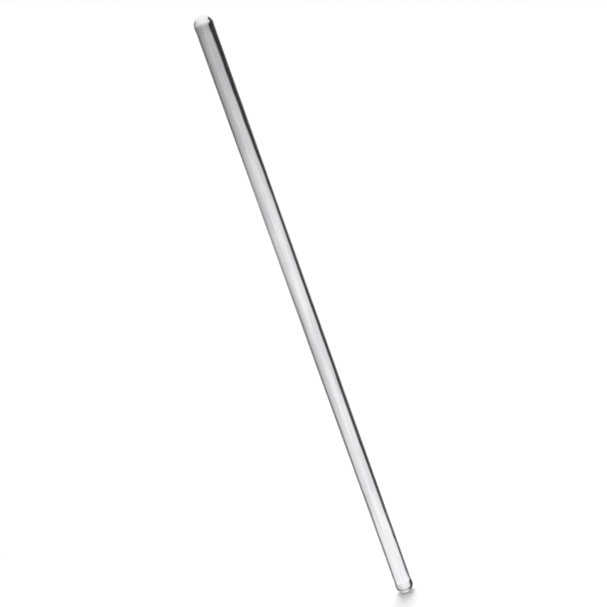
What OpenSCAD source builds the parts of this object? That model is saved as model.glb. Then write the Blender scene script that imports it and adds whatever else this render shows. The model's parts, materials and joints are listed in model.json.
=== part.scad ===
// Glass stirring rod: one straight length of solid drawn glass cane, cut to length,
// with both cut ends rounded in a flame. All sizes are in millimetres.
// The rod stands along +Z, and the origin is the lowest point of its stirring tip.

/* [Shank] */
// Diameter of the drawn glass
rod_d = 6; // [5:0.5:12]
// Length of the rod over both tips
rod_length = 200; // [60:5:400]

/* [Fire-polished tips] */
// Width of the flatter crown that the flame leaves in the middle of the cut face
crown_w = 1.5; // [1.3:0.1:4]
// Rise of the middle of that crown above the top of the rounded edge
crown_rise = 0.45; // [0.1:0.05:0.6]
// How far the softened glass swells out past the wall of the shank
swell = 0.1; // [0.02:0.01:0.3]
// Length of shank over which the swelling dies away
swell_l = 3; // [2:0.5:6]

/* [Hidden] */
$fn = 96;
clear_glass = [0.86, 0.89, 0.89, 0.55];

rod_r = rod_d / 2;
// The edge's arc is centred this far from the axis, level with the tip's widest point
edge_x = crown_w / 2;
edge_r = rod_r + swell - edge_x;
// Height of a tip above its widest point
tip_h = edge_r + crown_rise;
// The drawn wall, and the glass inside it, between the widest points of the tips
core_l = rod_length - 2 * tip_h;
// The crown is an arc about a point on the axis, and runs into the edge's arc with no corner
crown_r = edge_x * edge_x / (2 * crown_rise) + edge_r + crown_rise / 2;
crown_z = tip_h - crown_r;
// The arcs meet on the line through their two centres, which rises at this angle
meet_angle = atan2(-crown_z, edge_x);
// The flare is a long hollow arc that leaves the wall and runs into the edge's arc.
// It is centred outside the rod, level with the end of the straight wall.
flare_r = (swell_l * swell_l + swell * swell) / (2 * swell) - edge_r;
flare_x = rod_r + flare_r;
// A chord of the flare's circle is about this long
flare_chord = 0.5;

// The half sections of a tip overlap inside the glass, so that no seam is left between them

// Half section of the rounded edge: its whole disc, as far as the axis
module edge_section() {
    intersection() {
        translate([edge_x, 0]) circle(r = edge_r);
        translate([0, -rod_r]) square(rod_d);
    }
}

// Half section of the crown, from the axis to the line of centres.
// The shape that trims it reaches a rod's diameter out, well past the arc.
module crown_section() {
    intersection() {
        translate([0, crown_z]) circle(r = crown_r);
        polygon([
            [0, -rod_r],
            [edge_x, 0],
            [edge_x + rod_d * cos(meet_angle), rod_d * sin(meet_angle)],
            [0, rod_d],
        ]);
    }
}

// Half section of the swollen glass below the edge, hollowed by the flare's circle.
// The shape that is hollowed reaches out to the middle of that circle.
module flare_section() {
    difference() {
        polygon([
            [0, -swell_l],
            [flare_x, -swell_l],
            [edge_x, 0],
            [0, 0],
        ]);
        translate([flare_x, -swell_l]) circle(r = flare_r, $fn = 4 * ceil(PI / 2 * flare_r / flare_chord));
    }
}

// Half section of one tip, with its widest point at z = 0
module tip_section() {
    flare_section();
    edge_section();
    crown_section();
}

// The whole rod, one solid of revolution
module rod() {
    color(clear_glass)
    rotate_extrude() {
        translate([0, tip_h]) square([rod_r, core_l]);
        translate([0, rod_length - tip_h]) tip_section();
        translate([0, tip_h]) mirror([0, 1]) tip_section();
    }
}

rod();
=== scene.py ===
import json
import math

import bmesh
import bpy
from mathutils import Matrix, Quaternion, Vector


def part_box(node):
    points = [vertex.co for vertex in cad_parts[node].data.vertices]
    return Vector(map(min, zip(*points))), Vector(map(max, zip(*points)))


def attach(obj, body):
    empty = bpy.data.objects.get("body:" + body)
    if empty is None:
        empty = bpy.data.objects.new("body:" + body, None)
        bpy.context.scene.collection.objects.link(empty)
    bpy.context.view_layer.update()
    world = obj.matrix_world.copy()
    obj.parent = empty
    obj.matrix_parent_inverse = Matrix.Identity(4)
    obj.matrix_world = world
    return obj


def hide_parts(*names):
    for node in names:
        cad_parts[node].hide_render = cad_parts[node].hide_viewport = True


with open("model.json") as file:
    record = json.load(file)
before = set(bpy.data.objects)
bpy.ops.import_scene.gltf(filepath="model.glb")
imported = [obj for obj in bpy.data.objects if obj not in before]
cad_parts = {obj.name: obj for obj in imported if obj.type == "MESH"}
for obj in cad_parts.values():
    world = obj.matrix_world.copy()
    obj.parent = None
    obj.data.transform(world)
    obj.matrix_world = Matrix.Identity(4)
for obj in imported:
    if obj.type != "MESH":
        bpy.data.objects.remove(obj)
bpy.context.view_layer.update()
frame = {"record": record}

# The rod: solid glass cane, drawn hot to an even thickness, so it is round and straight.
# It is scored and snapped to length. Each cut end then turns in a flame until its sharp
# edge melts back to a smooth dome, which swells a little past the wall of the shank.
rod_low, rod_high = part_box("rod")
rod_top = rod_high.z
rod_r = frame["record"]["mounts"][0]["dims"]["r_mm"] / 1000
crown_w = 0.0015
crown_rise = 0.00045
swell = 0.0001
swell_l = 0.003
edge_x = crown_w / 2
edge_r = rod_r + swell - edge_x
tip_h = edge_r + crown_rise
crown_r = edge_x ** 2 / (2 * crown_rise) + edge_r + crown_rise / 2
meet_angle = math.atan2(crown_r - tip_h, edge_x)
crown_angle = math.pi / 2 - meet_angle
flare_r = (swell_l ** 2 + swell ** 2) / (2 * swell) - edge_r
flare_x = rod_r + flare_r
flare_angle = math.atan2(swell_l, flare_x - edge_x)
crown_steps = 14
edge_steps = 20
flare_steps = 12
round_steps = 160
weld_gap = 1e-7
wall_ring = 0.0004
wall_l = rod_top - rod_low.z - 2 * (tip_h + swell_l)

glass_mesh = bmesh.new()


def draw_arc(start, centre_x, centre_z, angle, steps):
    """Turns a vertex about a point of the section, and gives the vertex where its arc ends."""
    turned = bmesh.ops.spin(
        glass_mesh, geom=[start], cent=(centre_x, 0, centre_z), axis=(0, 1, 0), angle=angle, steps=steps
    )
    return [made for made in turned["geom_last"] if isinstance(made, bmesh.types.BMVert)][0]


def draw_line(start, length):
    """Draws the wall on upwards from a vertex, and gives the vertex where it ends."""
    made = bmesh.ops.extrude_vert_indiv(glass_mesh, verts=[start])["verts"]
    bmesh.ops.translate(glass_mesh, verts=made, vec=(0, 0, length))
    return made[0]


# Half of the rod's section, from the middle of the lower tip up to the middle of the upper one
pen = bmesh.ops.create_vert(glass_mesh, co=(0, 0, rod_low.z))["vert"][0]
pen = draw_arc(pen, 0, rod_low.z + crown_r, -crown_angle, crown_steps)
pen = draw_arc(pen, edge_x, rod_low.z + tip_h, -meet_angle - flare_angle, edge_steps)
pen = draw_arc(pen, flare_x, rod_low.z + tip_h + swell_l, flare_angle, flare_steps)
for length in (wall_ring, wall_l - 2 * wall_ring, wall_ring):
    pen = draw_line(pen, length)
pen = draw_arc(pen, flare_x, rod_top - tip_h - swell_l, flare_angle, flare_steps)
pen = draw_arc(pen, edge_x, rod_top - tip_h, -flare_angle - meet_angle, edge_steps)
pen = draw_arc(pen, 0, rod_top - crown_r, -crown_angle, crown_steps)

bmesh.ops.spin(
    glass_mesh, geom=glass_mesh.verts[:] + glass_mesh.edges[:], cent=(0, 0, 0), axis=(0, 0, 1),
    angle=2 * math.pi, steps=round_steps, use_merge=True
)
bmesh.ops.remove_doubles(glass_mesh, verts=glass_mesh.verts[:], dist=weld_gap)
bmesh.ops.recalc_face_normals(glass_mesh, faces=glass_mesh.faces[:])
for face in glass_mesh.faces:
    face.smooth = True
rod_data = bpy.data.meshes.new("glass_rod")
glass_mesh.to_mesh(rod_data)
glass_mesh.free()
rod = bpy.data.objects.new("glass_rod", rod_data)
bpy.context.scene.collection.objects.link(rod)
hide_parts("rod")
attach(rod, "root")


class Wire:
    """An output socket of a shader tree. Sums on wires add Math nodes to that tree."""

    def __init__(self, tree, socket=None):
        self.tree = tree
        self.socket = socket

    def node(self, kind, settings=None, sockets=None, output=0):
        """Adds a node: its settings come first, then the values or wires of its sockets."""
        made = self.tree.nodes.new(kind)
        for name, value in (settings or {}).items():
            if name == "stops":
                for stop in list(value)[1:-1]:
                    made.color_ramp.elements.new(stop)
                for element, grey in zip(made.color_ramp.elements, value.values()):
                    element.color = (grey, grey, grey, 1)
                made.color_ramp.interpolation = "EASE"
            else:
                setattr(made, name, value)
        for name, value in (sockets or {}).items():
            if isinstance(value, Wire):
                self.tree.links.new(value.socket, made.inputs[name])
            else:
                made.inputs[name].default_value = value
        return Wire(self.tree, made.outputs[output])

    def maths(self, operation, *values):
        """Adds a Math node, with these values or wires in its sockets."""
        return self.node("ShaderNodeMath", {"operation": operation}, dict(enumerate(values)))

    def smooth(self, start, end, low=0, high=1):
        """Goes smoothly from low to high as this wire goes from start to end."""
        return self.node(
            "ShaderNodeMapRange", {"interpolation_type": "SMOOTHSTEP"},
            {"Value": self, "From Min": start, "From Max": end, "To Min": low, "To Max": high}
        )

    def mix(self, first, second):
        """Mixes two colours, from the first to the second as this wire goes from 0 to 1."""
        return self.node("ShaderNodeMix", {"data_type": "RGBA"}, {0: self, 6: first, 7: second}, 2)

    def __add__(self, other):
        return self.maths("ADD", self, other)

    def __sub__(self, other):
        return self.maths("SUBTRACT", self, other)

    def __rsub__(self, other):
        return self.maths("SUBTRACT", other, self)

    def __mul__(self, other):
        return self.maths("MULTIPLY", self, other)

    __radd__ = __add__
    __rmul__ = __mul__


# The glass: clear borosilicate. Drawing leaves fine grey lines along it, too shallow to feel,
# which the flame melts away at the tips. Handling leaves faint smears. Its edges carry a painted
# shade: a darker colour where the surface turns away, which stands in for dark surroundings seen there.
clear_tint = (0.99, 0.99, 1.0, 1)
line_tint = (0.8, 0.8, 0.83, 1)
# Painted shade: the darker colour laid over the glass where its surface turns away from the view
painted_edge_shade = (0.5, 0.5, 0.51, 1)
edge_shade_facing = (0.65, 0.95)
line_scale = (1500, 1500, 60)
line_share = (0.4, 0.65)
line_depth = 0.00001
smear_scale = 90
smear_share = (0.5, 0.8)
smear_rough = 0.02
glass_index = 1.474

glass = bpy.data.materials.new("clear_glass")
glass.use_nodes = True
glass_shader = glass.node_tree.nodes["Principled BSDF"]
place = Wire(glass.node_tree).node("ShaderNodeTexCoord", output="Object")
facing = place.node("ShaderNodeLayerWeight", {}, {"Blend": 0.5}, "Facing")
stretched = place.node("ShaderNodeMapping", {}, {"Vector": place, "Scale": line_scale})
lines = place.node("ShaderNodeTexNoise", {}, {"Vector": stretched, "Scale": 1, "Detail": 2})
height = place.node("ShaderNodeSeparateXYZ", {}, {0: place}, "Z")
from_middle = height.maths("ABSOLUTE", height - (rod_low.z + rod_top) / 2)
drawn = lines.smooth(*line_share) * from_middle.smooth(wall_l / 2, wall_l / 2 + swell_l, 1, 0)
smears = place.node("ShaderNodeTexNoise", {}, {"Vector": place, "Scale": smear_scale, "Detail": 3})
for name, wire in {
    # The Base Color takes a painted shade towards the edges, by how far the surface faces away
    "Base Color": facing.smooth(*edge_shade_facing).mix(drawn.mix(clear_tint, line_tint), painted_edge_shade),
    "Roughness": smears.smooth(*smear_share, 0, smear_rough),
    "Normal": place.node("ShaderNodeBump", {}, {"Height": drawn, "Distance": line_depth}),
}.items():
    glass.node_tree.links.new(wire.socket, glass_shader.inputs[name])
glass_shader.inputs["IOR"].default_value = glass_index
glass_shader.inputs["Transmission Weight"].default_value = 1
rod_data.materials.append(glass)

# The table: a wide sheet of matt white paper. It holds the rod's soft shadow where the tip
# touches it, and fades to plain white further out, so that no edge of it shows.
paper_r = 2.0
paper_sides = 96
paper_gap = 0.00001
paper_white = (0.93, 0.93, 0.93, 1)
fade_start = 0.05
fade_end = 0.25

paper_mesh = bmesh.new()
bmesh.ops.create_circle(paper_mesh, cap_ends=True, segments=paper_sides, radius=paper_r)
bmesh.ops.translate(paper_mesh, verts=paper_mesh.verts[:], vec=(0, 0, rod_low.z - paper_gap))
paper_data = bpy.data.meshes.new("paper_table")
paper_mesh.to_mesh(paper_data)
paper_mesh.free()
paper = bpy.data.objects.new("paper_table", paper_data)
bpy.context.scene.collection.objects.link(paper)
paper.visible_transmission = False
paper.visible_glossy = False

matt = bpy.data.materials.new("matt_paper")
matt.use_nodes = True
matt_shader = matt.node_tree.nodes["Principled BSDF"]
matt_shader.inputs["Base Color"].default_value = paper_white
matt_shader.inputs["Roughness"].default_value = 1
matt_shader.inputs["Specular IOR Level"].default_value = 0
spot = Wire(matt.node_tree).node("ShaderNodeTexCoord", output="Object")
out = spot.node("ShaderNodeVectorMath", {"operation": "LENGTH"}, {0: spot}, "Value")
seen = spot.node("ShaderNodeLightPath", output="Is Camera Ray")
white = spot.node("ShaderNodeEmission", {}, {"Strength": 1})
faded = spot.node("ShaderNodeMixShader", {}, {
    0: out.smooth(fade_start, fade_end) * seen,
    1: Wire(matt.node_tree, matt_shader.outputs[0]),
    2: white,
})
matt.node_tree.links.new(faded.socket, matt.node_tree.nodes["Material Output"].inputs["Surface"])
paper_data.materials.append(matt)

# The light tent: cloth hung all round on a white table, lighter just below level, with black
# boards upright in it. Clear glass shows only its surroundings, so they draw its dark lines.
# Bearings are in degrees to the left of the main view, and rises are degrees above level.
main_view = 330
view_turn = math.radians(main_view)
view_way = Vector((math.cos(view_turn), math.sin(view_turn), 0))
left_way = Vector((-view_way.y, view_way.x, 0))
board = 0.02
cloth = {
    -180: 1, -168: 1, -158: 0.4, -144: 0.85, -124: 0.35, -106: 0.08, -96: 0.32, -62: 0.35,
    -56: 0.45, -49: 0.06, -40: 0.38, -31: 0.54, -15: 0.73, -8: 0.87, 8: 0.87, 17: 0.82,
    60: 0.22, 72: 0.42, 83: 0.6, 94: 1, 102: 0.55, 113: 0.92, 125: 0.6, 138: board, 150: board,
    158: 0.4, 168: 1, 180: 1,
}
soft_light = 0.8

# Shade on the cloth ahead, from a little below level to a little above it
shade = 0.61
shade_grows = (-13.5, 14)
shade_ends = (10, 17)
shade_sides = (52, 64)

# The edge of the white table, which is higher ahead than at the sides
table_sides = (34, 50)
table_rises = (-24, -44)
table_soft = 11

# The lighter band just below level, which reaches as far on both sides of its middle
band_light = 0.2
band_foot = (-14, -7)
band_top = (-6, -1)
band_middle = -35
band_sides = (60, 75)

# The board on the left. Its near edge leans, and lies further round in the band and at the foot
edge_low = 28
edge_high = 16.4
edge_turns = (-6, 8)
edge_in_band = 2.5
edge_at_foot = 22
edge_foot = (-36, -20)
board_end = 54
board_foot = (-42, -26)
board_soft = 6

tent = bpy.data.worlds.new("light_tent")
bpy.context.scene.world = tent
tent.use_nodes = True
way = Wire(tent.node_tree).node("ShaderNodeTexCoord", output="Generated")
ahead = way.node("ShaderNodeVectorMath", {"operation": "DOT_PRODUCT"}, {0: way, 1: view_way}, "Value")
aside = way.node("ShaderNodeVectorMath", {"operation": "DOT_PRODUCT"}, {0: way, 1: left_way}, "Value")
up = way.node("ShaderNodeSeparateXYZ", {}, {0: way}, "Z")
bearing = aside.maths("ARCTAN2", aside, ahead) * math.degrees(1)
rise = up.maths("ARCSINE", up) * math.degrees(1)
walls = bearing.node(
    "ShaderNodeValToRGB", {"stops": {(turn + 180) / 360: grey for turn, grey in cloth.items()}},
    {0: bearing * (1 / 360) + 0.5}
)
turned = bearing.maths("ABSOLUTE", bearing)
shaded = rise.smooth(*shade_grows, 0, shade) * rise.smooth(*shade_ends, 1, 0)
dimmed = shaded * turned.smooth(*shade_sides, 1, 0)
table_edge = turned.smooth(*table_sides, *table_rises)
white_table = (rise - table_edge).smooth(-table_soft, table_soft, 1, 0)
low_band = rise.smooth(*band_top, 1, 0) * rise.smooth(*band_foot)
off_middle = bearing.maths("ABSOLUTE", bearing - band_middle)
lightened = low_band * off_middle.smooth(*band_sides, band_light, 0)
hung = 1 - (1 - white_table) * (1 - lightened) * (1 - walls * (1 - dimmed))
leaning = rise.smooth(*edge_turns, edge_low, edge_high) + low_band * edge_in_band
board_edge = leaning + rise.smooth(*edge_foot, edge_at_foot, 0)
past_edge = (bearing - board_edge).smooth(-board_soft, board_soft)
before_end = bearing.smooth(board_end - board_soft, board_end + board_soft, 1, 0)
left_board = past_edge * before_end * rise.smooth(*board_foot)
around = hung * (1 - (1 - board) * left_board)
seen = way.node("ShaderNodeLightPath", output="Is Camera Ray")
mirrored = way.node("ShaderNodeLightPath", output="Is Glossy Ray")
through = way.node("ShaderNodeLightPath", output="Is Transmission Ray")
in_glass = way.maths("MAXIMUM", mirrored, through)
strength = seen + in_glass * around + (1 - seen - in_glass) * soft_light
tent.node_tree.links.new(strength.socket, tent.node_tree.nodes["Background"].inputs["Strength"])
tent.node_tree.nodes["Background"].inputs["Color"].default_value = (1, 1, 1, 1)

# The lamp: one wide soft box high on the camera's left, which only gives the table its light
# and the rod its shadow. The glass itself shows the tent.
lamp_power = 6
lamp_width = 0.5
lamp_place = Vector((0.3, -0.3, 0.9))
lamp_data = bpy.data.lights.new("soft_box", "AREA")
lamp_data.energy = lamp_power
lamp_data.size = lamp_width
lamp = bpy.data.objects.new("soft_box", lamp_data)
lamp.location = lamp_place
lamp.rotation_mode = "QUATERNION"
lamp.rotation_quaternion = (-lamp_place).to_track_quat("-Z", "Y")
lamp.visible_glossy = False
lamp.visible_transmission = False
bpy.context.scene.collection.objects.link(lamp)

# The camera: nearly level with the top of the rod and close to it, so that it looks down on
# the lower tip. It is rolled, so that the rod leans to the left as it does in a beaker.
camera_out = 0.3
camera_share = 0.85
camera_z = rod_low.z + camera_share * (rod_top - rod_low.z)
camera_lens = 57
camera_roll = math.radians(-19.7)
rise_top = math.atan2(rod_top - camera_z, camera_out)
rise_low = math.atan2(rod_low.z - camera_z, camera_out)
rise_mid = (rise_top + rise_low) / 2
aim = view_way * math.cos(rise_mid) + Vector((0, 0, math.sin(rise_mid)))
camera_data = bpy.data.cameras.new("camera")
camera_data.lens = camera_lens
camera = bpy.data.objects.new("camera", camera_data)
camera.location = view_way * -camera_out + Vector((0, 0, camera_z))
camera.rotation_mode = "QUATERNION"
camera.rotation_quaternion = aim.to_track_quat("-Z", "Y") @ Quaternion((0, 0, 1), camera_roll)
bpy.context.scene.collection.objects.link(camera)
bpy.context.scene.camera = camera

# The picture: plain colours, and enough turns for light to find its way through the glass and
# out again.
light_turns = 32
bpy.context.scene.view_settings.view_transform = "Standard"
bpy.context.scene.cycles.max_bounces = light_turns
bpy.context.scene.cycles.transmission_bounces = light_turns
bpy.context.scene.cycles.glossy_bounces = light_turns
